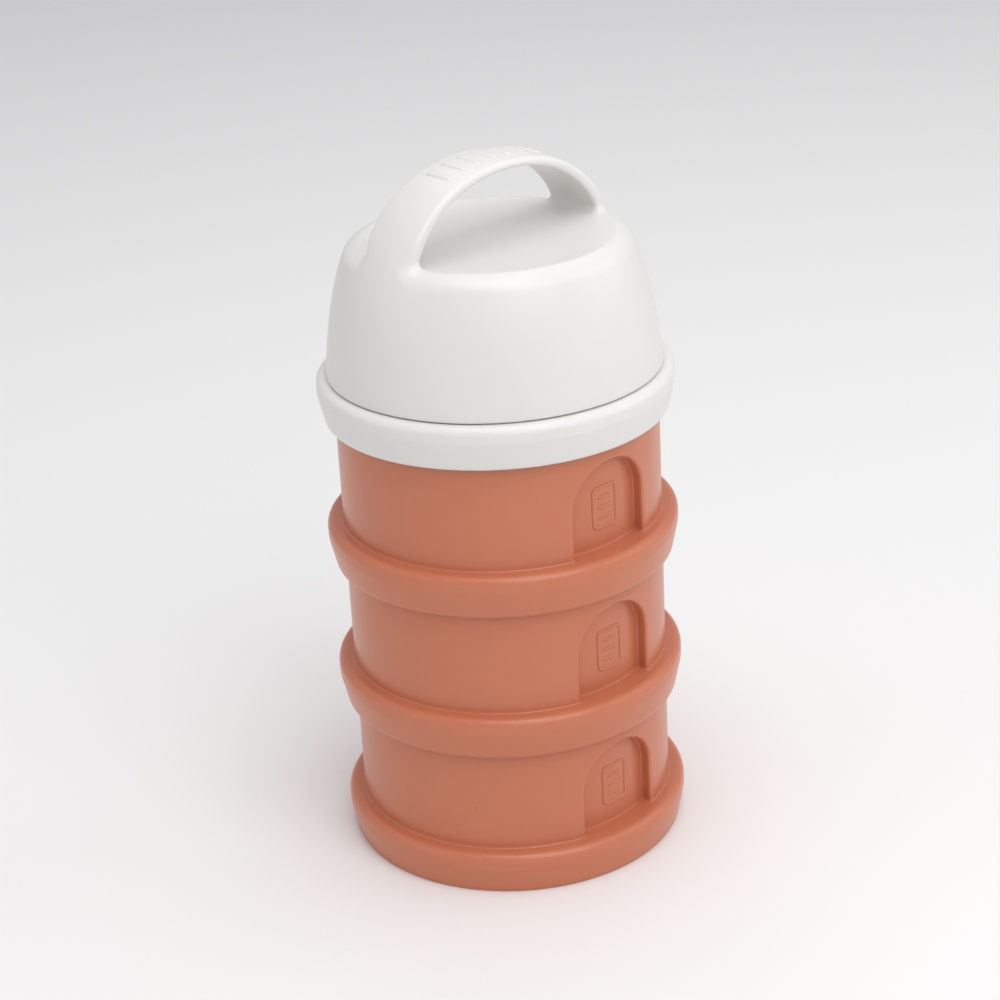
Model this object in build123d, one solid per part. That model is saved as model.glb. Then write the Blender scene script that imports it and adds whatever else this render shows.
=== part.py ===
from build123d import *
import math
import os

# Stackable formula dispenser: identical powder cups that screw onto each other,
# a pouring collar on the top cup, and a domed cap with a strap handle.
# Millimetres and degrees. +Z is up, the origin is the centre of the base, and the
# arch recesses and the open side of the handle face -Y.

# Cups
CUP_COUNT = 3
CUP_PITCH = 38.0            # height one cup adds to the stack
WALL_RADIUS = 40.0          # outside of a cup's wall
WALL_THICKNESS = 2.8
FLOOR_THICKNESS = 2.2
FLOOR_CORNER = 3.0          # inside corner between floor and wall

# Flange skirt, the same on every cup and on the pouring collar
FLANGE_OVERHANG = 4.0       # how far the skirt stands out from the wall
FLANGE_DRAFT = 1.5          # how much the skirt narrows down to its bottom edge
FLANGE_SHOULDER_DROP = 4.0  # widest level of the skirt, below its top
FLANGE_TOP_ROUND = 2.6
SKIRT_EDGE_ROUND = 0.7
SKIRT_GAP = 0.8             # skirt bore to the wall of the cup below

# Screw necks
NECK_STEP = 1.0             # neck is this much smaller than the wall below it
NECK_THICKNESS = 1.9
NECK_RIM_ROUND = 0.6

# Quick thread: several short ridges, right-handed
THREAD_STARTS = 6
THREAD_SPACING = 4.0        # axial distance between neighbouring starts
THREAD_ARC = 40.0           # length of one ridge around the neck
THREAD_ROOT_WIDTH = 1.6
THREAD_TIP_WIDTH = 1.0
THREAD_HEIGHT = 1.2
THREAD_BITE = 0.3           # how deep a ridge is rooted in its wall
THREAD_LEAD_IN = 0.4        # plain bore below a skirt's ridges
THREAD_PULL = 0.3           # a closed skirt sits this much nearer the ridge above it

# Silicone seals
SEAL_THICKNESS = 2.0
SEAL_GAP = 0.1              # between a seal and the flat faces above and below it
SEAL_BORE_CLEARANCE = 0.5   # between the seal's edge and the bore around it
SEAL_LIP_CLEARANCE = 0.4    # between the lip and the neck it plugs
SEAL_LIP_THICKNESS = 1.4
SEAL_LIP_DEPTH = 2.4
SPIGOT_CLEARANCE = 0.4      # between the lip and the locating ring inside it
SPIGOT_THICKNESS = 1.6
SPIGOT_DEPTH = 2.0

# Arch recess at the front of each cup
ARCH_WIDTH = 22.8
ARCH_HEIGHT = 23.1          # top of the arch above the flange
ARCH_DEPTH = 3.0
ARCH_EDGE_ROUND = 0.9
ARCH_WALL = 1.8             # wall kept behind the recess

# Pouring collar
COLLAR_NECK_INSET = 3.3     # cap neck is this much smaller than the dome's base
PLATE_THICKNESS = 1.8
FUNNEL_THICKNESS = 1.8
FUNNEL_TOP = 18.0           # end of the cone above the joint of collar and cap
SPOUT_RADIUS = 15.0

# Cap
SEAM_INSET = 2.6            # dome's base is this much smaller than the flange
SEAM_GAP = 0.3
CAP_WALL = 2.2
CAP_BORE_MARGIN = 1.0       # straight threaded bore in the cap, beyond the neck's rim
DOME_LEAN = 2.8             # Bezier handles that set the dome's outline
DOME_SIDE_REACH = 29.7
DOME_CROWN_REACH = 31.2
PLATEAU_HEIGHT = 33.0       # scooped floor under the handle
PLATEAU_ROUND = 4.0
HANDLE_GAP = 17.0           # height of the finger gap between plateau and strap
STRAP_WIDTH = 16.6
STRAP_CROWN = 2.4           # thickness at the top of the strap
STRAP_FOOT = 5.0            # thickness where the strap meets the plateau
STRAP_FOOT_FILLET = 4.5
STRAP_EDGE_ROUND = 0.9
TUNNEL_CENTRE_DROP = 5.0    # ellipse centre of the finger gap, below the plateau

# Spout plug under the cap
PLUG_DISC_OVERHANG = 2.5
PLUG_THICKNESS = 4.6        # disc between the spout's rim and the cap's ceiling
PLUG_DEPTH = 3.0
PLUG_CLEARANCE = 0.4
PLUG_WALL = 1.6
SOCKET_CLEARANCE = 0.4
SOCKET_THICKNESS = 1.6

# Worked out from the sizes above
FLANGE_RADIUS = WALL_RADIUS + FLANGE_OVERHANG
SKIRT_BORE = WALL_RADIUS + SKIRT_GAP
NECK_RADIUS = WALL_RADIUS - NECK_STEP
NECK_BORE = NECK_RADIUS - NECK_THICKNESS
CUP_BORE = WALL_RADIUS - WALL_THICKNESS
ARCH_FLOOR_RADIUS = WALL_RADIUS - ARCH_DEPTH
THREAD_LEAD = THREAD_STARTS * THREAD_SPACING
THREAD_RISE = THREAD_LEAD * THREAD_ARC / 360
FEMALE_THREAD_START = THREAD_LEAD_IN + THREAD_ROOT_WIDTH / 2
MALE_THREAD_START = FEMALE_THREAD_START + THREAD_SPACING / 2 - THREAD_PULL
NECK_HEIGHT = MALE_THREAD_START + THREAD_RISE + THREAD_ROOT_WIDTH / 2 + NECK_RIM_ROUND
SEAL_BOTTOM = NECK_HEIGHT + SEAL_GAP
CEILING = SEAL_BOTTOM + SEAL_THICKNESS + SEAL_GAP      # underside of a cup's floor
FLANGE_HEIGHT = CEILING + PLATE_THICKNESS
CAP_RISE = PLATEAU_HEIGHT + HANDLE_GAP + STRAP_CROWN
CAP_CEILING = PLATEAU_HEIGHT - CAP_WALL
SPOUT_TIP = CAP_CEILING - PLUG_THICKNESS - 2 * SEAL_GAP
SEAL_RADIUS = SKIRT_BORE - SEAL_BORE_CLEARANCE
LIP_RADIUS = NECK_BORE - SEAL_LIP_CLEARANCE
SPIGOT_RADIUS = LIP_RADIUS - SEAL_LIP_THICKNESS - SPIGOT_CLEARANCE
DOME_RADIUS = FLANGE_RADIUS - SEAM_INSET
CAP_NECK_RADIUS = DOME_RADIUS - COLLAR_NECK_INSET - SKIRT_GAP
CAP_BORE = CAP_NECK_RADIUS + NECK_STEP + SKIRT_GAP
CAP_NECK_BORE = CAP_NECK_RADIUS - NECK_THICKNESS
COLLAR_BASE = CUP_COUNT * CUP_PITCH
CAP_BASE = COLLAR_BASE + FLANGE_HEIGHT


def ring(outer, inner, bottom, top):
    """A plain tube between two levels."""
    return Pos(0, 0, bottom) * extrude(Circle(outer) - Circle(inner), top - bottom)


def disc(radius, bottom, top):
    """A plain disc between two levels."""
    return Pos(0, 0, bottom) * extrude(Circle(radius), top - bottom)


def turned(*corners):
    """Solid of revolution about Z from (radius, height) corners."""
    return revolve(Plane.XZ * make_face(Polyline(*corners, close=True)), Axis.Z)


def thread(wall_radius, outward, first_centre):
    """Ridges of a multi-start thread that stand on a round wall."""
    side = 1 if outward else -1
    foot = -side * THREAD_BITE
    tip = side * THREAD_HEIGHT
    pitch_line = Helix(THREAD_LEAD, THREAD_LEAD * THREAD_ARC / 360, wall_radius)
    half_root = THREAD_ROOT_WIDTH / 2
    half_tip = THREAD_TIP_WIDTH / 2
    section = Plane.XZ * Pos(wall_radius, 0) * make_face(
        Polyline((foot, -half_root), (tip, -half_tip), (tip, half_tip), (foot, half_root), close=True)
    )
    ridge = sweep(section, path=pitch_line, is_frenet=True)
    return [
        Rot(0, 0, start * 360 / THREAD_STARTS) * Pos(0, 0, first_centre) * ridge
        for start in range(THREAD_STARTS)
    ]


def flange_skirt():
    """Outside of the skirt, filled to the axis, with its rounded edges."""
    shoulder = FLANGE_HEIGHT - FLANGE_SHOULDER_DROP
    outline = make_face(
        Polyline(
            (0, 0),
            (FLANGE_RADIUS - FLANGE_DRAFT, 0),
            (FLANGE_RADIUS, shoulder),
            (FLANGE_RADIUS, FLANGE_HEIGHT),
            (0, FLANGE_HEIGHT),
            close=True,
        )
    )
    top_corner = outline.vertices().sort_by_distance((FLANGE_RADIUS, FLANGE_HEIGHT))[0]
    outline = fillet(top_corner, FLANGE_TOP_ROUND)
    bottom_corner = outline.vertices().sort_by_distance((FLANGE_RADIUS - FLANGE_DRAFT, 0))[0]
    outline = fillet(bottom_corner, SKIRT_EDGE_ROUND)
    return revolve(Plane.XZ * outline, Axis.Z)


def neck(radius, bore, bottom, height):
    """Threaded neck with a rounded rim."""
    wall = ring(radius, bore, bottom, bottom + height)
    rim = wall.edges().filter_by_position(Axis.Z, bottom + height - 0.01, bottom + height + 0.01)
    return fillet(rim, NECK_RIM_ROUND)


def arch(margin):
    """Front-view outline of the recess, grown by a margin, as a bar along Y."""
    half = ARCH_WIDTH / 2 + margin
    spring_line = FLANGE_HEIGHT + ARCH_HEIGHT - ARCH_WIDTH / 2
    outline = Pos(0, spring_line) * Circle(half) + Pos(0, spring_line / 2) * Rectangle(2 * half, spring_line)
    return extrude(Plane.XZ * outline, FLANGE_RADIUS)


def cup():
    """One powder cup: skirt, recessed wall, floor and threaded neck."""
    barrel = disc(WALL_RADIUS, CEILING, CUP_PITCH)
    barrel -= arch(0) - disc(ARCH_FLOOR_RADIUS, -1, CUP_PITCH + 1)
    lip = [
        edge
        for edge in barrel.edges()
        if edge.center().Y < -ARCH_FLOOR_RADIUS * 0.9
        and abs((edge @ 0.5).X ** 2 + (edge @ 0.5).Y ** 2 - WALL_RADIUS**2) < 1
        and CEILING + 0.1 < edge.center().Z < CUP_PITCH - 0.1
    ]
    barrel = fillet(lip, ARCH_EDGE_ROUND)
    body = barrel + flange_skirt() + disc(NECK_RADIUS, CUP_PITCH - 1, CUP_PITCH + 1)
    cavity_bottom = CEILING + FLOOR_THICKNESS
    cavity = disc(CUP_BORE, cavity_bottom, CUP_PITCH + 2)
    cavity = fillet(cavity.edges().sort_by(Axis.Z)[0], FLOOR_CORNER)
    bump = arch(ARCH_WALL) - disc(ARCH_FLOOR_RADIUS - ARCH_WALL, -1, CUP_PITCH + 2)
    body -= cavity - bump
    body -= disc(SKIRT_BORE, -1, CEILING)
    body += neck(NECK_RADIUS, NECK_BORE, CUP_PITCH - 1, NECK_HEIGHT + 1)
    body += ring(SPIGOT_RADIUS, SPIGOT_RADIUS - SPIGOT_THICKNESS, CEILING - SPIGOT_DEPTH, CEILING + 0.5)
    for ridge in thread(NECK_RADIUS, True, CUP_PITCH + MALE_THREAD_START):
        body += ridge
    for ridge in thread(SKIRT_BORE, False, FEMALE_THREAD_START):
        body += ridge
    return body


def neck_seal():
    """Flat gasket with a lip that plugs the neck below."""
    lip_bottom = SEAL_BOTTOM - SEAL_LIP_DEPTH
    lip_inner = LIP_RADIUS - SEAL_LIP_THICKNESS
    return turned(
        (lip_inner, lip_bottom),
        (LIP_RADIUS - 0.5, lip_bottom),
        (LIP_RADIUS, lip_bottom + 0.8),
        (LIP_RADIUS, SEAL_BOTTOM),
        (SEAL_RADIUS, SEAL_BOTTOM),
        (SEAL_RADIUS, SEAL_BOTTOM + SEAL_THICKNESS),
        (lip_inner, SEAL_BOTTOM + SEAL_THICKNESS),
    )


def pour_collar():
    """White ring with a funnel, a spout and the neck for the cap."""
    funnel_mouth = CAP_NECK_BORE - FUNNEL_THICKNESS
    cone_top = FLANGE_HEIGHT + FUNNEL_TOP
    tip = FLANGE_HEIGHT + SPOUT_TIP
    spout_bore = SPOUT_RADIUS - FUNNEL_THICKNESS
    body = flange_skirt() - disc(SKIRT_BORE, -1, CEILING) - disc(funnel_mouth, -1, FLANGE_HEIGHT + 1)
    funnel = turned(
        (funnel_mouth, CEILING),
        (CAP_NECK_BORE + 0.5, CEILING),
        (CAP_NECK_BORE + 0.5, FLANGE_HEIGHT),
        (SPOUT_RADIUS, cone_top),
        (SPOUT_RADIUS, tip - 0.5),
        (SPOUT_RADIUS - 0.5, tip),
        (spout_bore + 0.5, tip),
        (spout_bore, tip - 0.5),
        (spout_bore, cone_top),
    )
    body += funnel
    body += neck(CAP_NECK_RADIUS, CAP_NECK_BORE, FLANGE_HEIGHT - 1, NECK_HEIGHT + 1)
    body += ring(SPIGOT_RADIUS, SPIGOT_RADIUS - SPIGOT_THICKNESS, CEILING - SPIGOT_DEPTH, CEILING + 0.5)
    for ridge in thread(SKIRT_BORE, False, FEMALE_THREAD_START):
        body += ridge
    for ridge in thread(CAP_NECK_RADIUS, True, FLANGE_HEIGHT + MALE_THREAD_START):
        body += ridge
    return body


def dome(shrink):
    """The dome's full shape, moved inwards by shrink. Its seam line runs to the back."""
    base = DOME_RADIUS - shrink
    rise = CAP_RISE - shrink
    outline = Bezier((base, 0), (base - DOME_LEAN, DOME_SIDE_REACH), (DOME_CROWN_REACH, rise), (0, rise))
    closing = Polyline((0, rise), (0, 0), (base, 0))
    return Rot(0, 0, 90) * revolve(Plane.XZ * make_face(outline + closing), Axis.Z)


def dome_radius_at(height):
    """Outside radius of the dome at a height above the joint plane."""
    return (dome(0) & disc(2 * DOME_RADIUS, height, CAP_RISE)).bounding_box().max.X


def scooped_dome():
    """The dome cut off flat at the plateau, with its crest rounded."""
    body = dome(0) & disc(2 * DOME_RADIUS, 0, PLATEAU_HEIGHT)
    crest = [edge for edge in body.edges() if (edge @ 0.5).Z > PLATEAU_HEIGHT - 0.1]
    return fillet(crest, PLATEAU_ROUND)


def finger_tunnel():
    """Space under the strap: half an ellipse whose lower corners are rounded."""
    centre = PLATEAU_HEIGHT - TUNNEL_CENTRE_DROP
    half_height = CAP_RISE - STRAP_CROWN - centre
    foot = dome_radius_at(PLATEAU_HEIGHT) - STRAP_FOOT
    half_width = foot / math.sqrt(1 - (TUNNEL_CENTRE_DROP / half_height) ** 2)
    outline = Pos(0, centre) * Ellipse(half_width, half_height)
    outline &= Pos(0, PLATEAU_HEIGHT + CAP_RISE / 2) * Rectangle(4 * DOME_RADIUS, CAP_RISE)
    outline = fillet(outline.vertices(), STRAP_FOOT_FILLET)
    return extrude(Plane.XZ * outline, STRAP_WIDTH, both=True)


def strap():
    """Handle that carries the dome's shape on over the scooped plateau."""
    root = PLATEAU_HEIGHT - 2 * PLATEAU_ROUND
    slab = Pos(0, 0, root) * extrude(Rectangle(4 * DOME_RADIUS, STRAP_WIDTH), CAP_RISE)
    body = (dome(0) & slab) - finger_tunnel()
    rims = [
        edge
        for edge in body.edges()
        if abs(abs((edge @ 0.5).Y) - STRAP_WIDTH / 2) < 0.01
        and max((edge @ 0).Z, (edge @ 0.5).Z) > PLATEAU_HEIGHT + 0.1
    ]
    return fillet(rims, STRAP_EDGE_ROUND)


def carry_cap():
    """Domed cap: threaded base, scooped top and strap handle."""
    body = scooped_dome() + strap()
    body -= dome(CAP_WALL) & disc(DOME_RADIUS, 0, CAP_CEILING)
    body -= disc(CAP_BORE, -1, NECK_HEIGHT + CAP_BORE_MARGIN)
    body -= disc(2 * DOME_RADIUS, -1, SEAM_GAP)
    socket_bore = SPOUT_RADIUS + PLUG_DISC_OVERHANG + SOCKET_CLEARANCE
    body += ring(socket_bore + SOCKET_THICKNESS, socket_bore, SPOUT_TIP + SEAL_GAP, CAP_CEILING + 0.5)
    for ridge in thread(CAP_BORE, False, FEMALE_THREAD_START):
        body += ridge
    return body


def spout_plug():
    """Silicone plug that closes the spout when the cap is on."""
    disc_bottom = SPOUT_TIP + SEAL_GAP
    disc_top = disc_bottom + PLUG_THICKNESS
    disc_radius = SPOUT_RADIUS + PLUG_DISC_OVERHANG
    plug_radius = SPOUT_RADIUS - FUNNEL_THICKNESS - PLUG_CLEARANCE
    return turned(
        (plug_radius - PLUG_WALL, disc_bottom - PLUG_DEPTH),
        (plug_radius - 0.5, disc_bottom - PLUG_DEPTH),
        (plug_radius, disc_bottom - PLUG_DEPTH + 0.8),
        (plug_radius, disc_bottom),
        (disc_radius, disc_bottom),
        (disc_radius, disc_top),
        (0, disc_top),
        (0, disc_bottom),
        (plug_radius - PLUG_WALL, disc_bottom),
    )


CUP_NAMES = ["lower", "middle", "upper"]

one_cup = cup()
one_seal = neck_seal()
parts = {}
for level in range(CUP_COUNT):
    lift = Pos(0, 0, level * CUP_PITCH)
    parts[f"{CUP_NAMES[level]}_cup"] = lift * one_cup
    parts[f"{CUP_NAMES[level]}_seal"] = lift * one_seal
parts["pour_collar"] = Pos(0, 0, COLLAR_BASE) * pour_collar()
parts["collar_seal"] = Pos(0, 0, COLLAR_BASE) * one_seal
parts["carry_cap"] = Pos(0, 0, CAP_BASE) * carry_cap()
parts["cap_seal"] = Pos(0, 0, CAP_BASE) * spout_plug()

os.makedirs("parts", exist_ok=True)
for name, solid in parts.items():
    export_step(solid, f"parts/{name}.step")
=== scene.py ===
"""Formula dispenser: three stacked powder cups, a pouring collar and a domed cap with a strap handle.

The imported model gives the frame. Lengths are in millimetres until a mesh is built in metres.
Heights inside a sub-assembly are counted from its own joint plane, and -Y is the front.
"""

from __future__ import annotations

import logging
import math
from dataclasses import dataclass
from enum import Enum
from typing import Callable, Sequence

import bmesh
import bpy
import numpy as np
from mathutils import Matrix, Vector

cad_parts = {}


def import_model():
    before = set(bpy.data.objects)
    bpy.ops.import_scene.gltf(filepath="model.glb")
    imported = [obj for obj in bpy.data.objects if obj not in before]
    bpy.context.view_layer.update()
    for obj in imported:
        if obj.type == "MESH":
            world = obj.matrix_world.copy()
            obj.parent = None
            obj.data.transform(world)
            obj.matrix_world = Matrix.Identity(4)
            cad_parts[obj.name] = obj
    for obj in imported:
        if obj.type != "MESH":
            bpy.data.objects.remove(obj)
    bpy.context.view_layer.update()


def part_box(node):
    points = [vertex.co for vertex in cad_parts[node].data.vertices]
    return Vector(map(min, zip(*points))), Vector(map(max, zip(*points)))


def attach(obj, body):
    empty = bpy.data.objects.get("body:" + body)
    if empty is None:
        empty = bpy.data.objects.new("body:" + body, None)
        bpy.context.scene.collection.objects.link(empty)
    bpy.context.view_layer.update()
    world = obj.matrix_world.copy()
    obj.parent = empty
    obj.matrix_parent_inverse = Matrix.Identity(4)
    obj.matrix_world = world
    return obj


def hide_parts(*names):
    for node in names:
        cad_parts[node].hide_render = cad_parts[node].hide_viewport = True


LOG = logging.getLogger("formula_dispenser")
MM = 0.001
Point = tuple[float, float]
Corner = tuple[float, float, float]
Row = Sequence[Sequence[float]]


# ---------------------------------------------------------------- outlines


def rounded_outline(corners: Sequence[Corner], closed: bool = True, step: float = 0.35) -> list[Point]:
    """Replaces each corner of an outline by an arc and samples it.

    Args:
        corners: (x, y, radius of the rounding) of each corner, in order.
        closed: whether the last corner joins the first one.
        step: longest straight piece inside an arc, in millimetres.

    Returns:
        The points of the rounded outline.
    """
    count = len(corners)
    outline: list[Point] = []
    for index, (x, y, radius) in enumerate(corners):
        here = Vector((x, y))
        at_end = not closed and index in (0, count - 1)
        if radius <= 0 or at_end:
            outline.append((x, y))
            continue
        before = Vector(corners[index - 1][:2]) - here
        after = Vector(corners[(index + 1) % count][:2]) - here
        half = before.angle(after) / 2
        room = 0.49 if corners[index - 1][2] > 0 else 0.98
        room_after = 0.49 if corners[(index + 1) % count][2] > 0 else 0.98
        reach = min(radius / math.tan(half), room * before.length, room_after * after.length)
        radius = reach * math.tan(half)
        start = here + before.normalized() * reach
        end = here + after.normalized() * reach
        centre = here + (before.normalized() + after.normalized()).normalized() * radius / math.sin(half)
        sweep = math.pi - 2 * half
        pieces = max(3, math.ceil(radius * sweep / step))
        first, last = start - centre, end - centre
        for piece in range(pieces + 1):
            share = piece / pieces
            spoke = first * math.sin((1 - share) * sweep) + last * math.sin(share * sweep)
            point = centre + spoke / math.sin(sweep)
            outline.append((point.x, point.y))
    return outline


def divided(outline: Sequence[Point], longest: float, closed: bool = False) -> list[Point]:
    """Splits the long pieces of an outline so that none is over a length.

    Args:
        outline: points in order.
        longest: longest piece allowed, in millimetres.
        closed: whether the last point joins the first one.

    Returns:
        The outline with points added on its long pieces.
    """
    result: list[Point] = []
    ends = list(outline[1:]) + ([outline[0]] if closed else [])
    for start, end in zip(outline, ends):
        pieces = max(1, math.ceil(math.dist(start, end) / longest))
        for piece in range(pieces):
            share = piece / pieces
            result.append((start[0] + (end[0] - start[0]) * share, start[1] + (end[1] - start[1]) * share))
    if not closed:
        result.append(outline[-1])
    return result


# ---------------------------------------------------------------- meshes


class Skin:
    """Collects the points and faces of one piece, in millimetres."""

    def __init__(self) -> None:
        """Starts with nothing in it."""
        self.points: list[tuple[float, float, float]] = []
        self.faces: list[tuple[int, ...]] = []
        self.flat_gap: float | None = None

    def grid(self, rows: Sequence[Row], closed: bool = False) -> None:
        """Adds quads between rows of points.

        Args:
            rows: rows with the same number of points each.
            closed: whether each row's last point joins its first one.
        """
        width = len(rows[0])
        base = len(self.points)
        for row in rows:
            self.points.extend(tuple(point) for point in row)
        columns = width if closed else width - 1
        for low in range(len(rows) - 1):
            for column in range(columns):
                beside = (column + 1) % width
                here = base + low * width
                above = here + width
                self.faces.append((here + column, here + beside, above + beside, above + column))

    def turn(self, outline: Sequence[Point], angles: Sequence[float], shift: "Shift | None" = None) -> None:
        """Adds an outline turned about the Z axis.

        Args:
            outline: (radius, height) points.
            angles: directions of the meridians, in radians.
            shift: gives a new radius for an angle, a radius and a height.
        """
        rows = []
        for radius, height in outline:
            row = []
            for angle in angles:
                reach = shift(angle, radius, height) if shift else radius
                row.append((reach * math.cos(angle), reach * math.sin(angle), height))
            rows.append(row)
        self.grid(rows, closed=True)

    def mesh(self, name: str, lift: float = 0.0) -> bpy.types.Mesh:
        """Welds what was collected into a mesh in metres.

        Args:
            name: name of the mesh.
            lift: height that is added to every point, in millimetres.

        Returns:
            The mesh, with its faces pointing outwards.
        """
        mesh = bpy.data.meshes.new(name)
        lifted = [(x * MM, y * MM, (z + lift) * MM) for x, y, z in self.points]
        mesh.from_pydata(lifted, [], self.faces)
        shell = bmesh.new()
        shell.from_mesh(mesh)
        weld(shell)
        if self.flat_gap is not None:
            level = (self.flat_gap + lift) * MM
            ends = [edge for edge in shell.edges if edge.is_boundary]
            rim = [edge for edge in ends if all(abs(end.co.z - level) < 1e-3 * MM for end in edge.verts)]
            bmesh.ops.triangle_fill(shell, use_beauty=True, edges=rim)
        bmesh.ops.recalc_face_normals(shell, faces=shell.faces)
        shell.to_mesh(mesh)
        shell.free()
        return mesh


Shift = Callable[[float, float, float], float]


def even_angles(count: int) -> list[float]:
    """Directions of evenly spaced meridians, in radians."""
    return [2 * math.pi * index / count for index in range(count)]


def new_object(name: str, mesh: bpy.types.Mesh) -> bpy.types.Object:
    """Links a mesh to the scene as an object at the origin.

    Args:
        name: name of the object.
        mesh: its mesh.

    Returns:
        The new object.
    """
    piece = bpy.data.objects.new(name, mesh)
    bpy.context.scene.collection.objects.link(piece)
    return piece


def shade(piece: bpy.types.Object, crease: float = 35.0) -> None:
    """Welds a piece and shades it smooth, apart from edges sharper than an angle.

    Args:
        piece: the object to shade.
        crease: edges that turn by more than this many degrees stay sharp.
    """
    shell = bmesh.new()
    shell.from_mesh(piece.data)
    weld(shell)
    for face in shell.faces:
        face.smooth = True
    for edge in shell.edges:
        if len(edge.link_faces) == 2:
            edge.smooth = edge.calc_face_angle(0.0) < math.radians(crease)
    shell.to_mesh(piece.data)
    shell.free()


def lathe(name: str, outline: Sequence[Point], lift: float, count: int = 192) -> bpy.types.Object:
    """Turns a closed outline into a piece.

    Args:
        name: name of the piece.
        outline: closed (radius, height) outline, in millimetres.
        lift: height of the outline's zero, in millimetres.
        count: number of meridians.

    Returns:
        The new object, shaded.
    """
    skin = Skin()
    skin.turn(list(outline) + [outline[0]], even_angles(count))
    piece = new_object(name, skin.mesh(name, lift))
    shade(piece)
    return piece


def block(name: str, low: Sequence[float], high: Sequence[float]) -> bpy.types.Object:
    """Builds a plain box between two corners, given in millimetres.

    Args:
        name: name of the box.
        low: its lowest corner.
        high: its highest corner.

    Returns:
        The box as a new object.
    """
    skin = Skin()
    lower, upper = [], []
    for x, y in ((low[0], low[1]), (high[0], low[1]), (high[0], high[1]), (low[0], high[1])):
        lower.append((x, y, low[2]))
        upper.append((x, y, high[2]))
    skin.grid([lower, upper], closed=True)
    for row in (lower, upper):
        skin.grid([row[:2], [row[3], row[2]]])
    return new_object(name, skin.mesh(name))


def relax(mesh: bpy.types.Mesh, rounds: int) -> None:
    """Evens out the points of a mesh.

    Args:
        mesh: the mesh, which is changed in place.
        rounds: number of passes.
    """
    shell = bmesh.new()
    shell.from_mesh(mesh)
    axes = {"use_axis_x": True, "use_axis_y": True, "use_axis_z": True}
    for _ in range(rounds):
        bmesh.ops.smooth_vert(shell, verts=shell.verts, factor=0.5, **axes)
    shell.to_mesh(mesh)
    shell.free()


def round_min(first: np.ndarray, second: np.ndarray, radius: np.ndarray | float) -> np.ndarray:
    """Joins two distance fields, with a fillet of a radius where they meet."""
    corner = np.hypot(np.maximum(radius - first, 0), np.maximum(radius - second, 0))
    return np.maximum(radius, np.minimum(first, second)) - corner


def round_max(first: np.ndarray, second: np.ndarray, radius: np.ndarray | float) -> np.ndarray:
    """Overlaps two distance fields, with an edge rounded to a radius where they meet."""
    return -round_min(-first, -second, radius)


def weld(shell: bmesh.types.BMesh, gap: float = 2e-3 * MM) -> None:
    """Joins points that lie closer than a gap, and drops the faces that this flattens.

    Args:
        shell: the mesh that is being edited.
        gap: distance within which points are joined, in metres.
    """
    bmesh.ops.remove_doubles(shell, verts=shell.verts, dist=gap)
    bmesh.ops.dissolve_degenerate(shell, edges=shell.edges, dist=gap / 20)
    loose = [edge for edge in shell.edges if not edge.link_faces]
    bmesh.ops.delete(shell, geom=loose, context="EDGES")


def combine(target: bpy.types.Object, tool: bpy.types.Object, operation: str) -> None:
    """Joins a tool shape to a piece, or cuts it out, and throws the tool away.

    Args:
        target: the piece that is kept.
        tool: the closed shape used on it.
        operation: UNION or DIFFERENCE.
    """
    modifier = target.modifiers.new("combine", "BOOLEAN")
    modifier.operation = operation
    modifier.solver = "EXACT"
    modifier.object = tool
    bpy.context.view_layer.update()
    result = bpy.data.meshes.new_from_object(target.evaluated_get(bpy.context.evaluated_depsgraph_get()))
    target.modifiers.remove(modifier)
    target.data = result
    bpy.data.objects.remove(tool)


# ---------------------------------------------------------------- finishes


class Surface(Enum):
    """How the mould leaves a surface."""

    SATIN = "satin"
    SOFT = "soft"


@dataclass(frozen=True)
class Finish:
    """One moulded material of the dispenser."""

    name: str
    colour: tuple[float, float, float]
    shade_colour: tuple[float, float, float]
    surface: Surface
    roughness: float
    roughness_spread: float
    grain_size: float
    grain_depth: float
    scatter: float
    scatter_radius: tuple[float, float, float]

    def material(self) -> bpy.types.Material:
        """Builds the node material of this finish.

        Returns:
            The material, with a Principled BSDF fed by the shared moulded skin group.
        """
        material = bpy.data.materials.new(self.name)
        material.use_nodes = True
        nodes, links = material.node_tree.nodes, material.node_tree.links
        shader = nodes["Principled BSDF"]
        skin = nodes.new("ShaderNodeGroup")
        skin.node_tree = moulded_skin_group()
        skin.location = (-320, 0)
        values = {
            "Colour": (*self.colour, 1.0),
            "Shade Colour": (*self.shade_colour, 1.0),
            "Roughness": self.roughness,
            "Roughness Spread": self.roughness_spread,
            "Grain Size": self.grain_size,
            "Grain Depth": self.grain_depth,
        }
        for socket, value in values.items():
            skin.inputs[socket].default_value = value
        links.new(skin.outputs["Colour"], shader.inputs["Base Color"])
        links.new(skin.outputs["Roughness"], shader.inputs["Roughness"])
        links.new(skin.outputs["Normal"], shader.inputs["Normal"])
        shader.inputs["Subsurface Weight"].default_value = self.scatter
        shader.inputs["Subsurface Radius"].default_value = self.scatter_radius
        shader.inputs["Subsurface Scale"].default_value = 0.004
        shader.inputs["IOR"].default_value = 1.42 if self.surface is Surface.SOFT else 1.49
        return material


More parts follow.
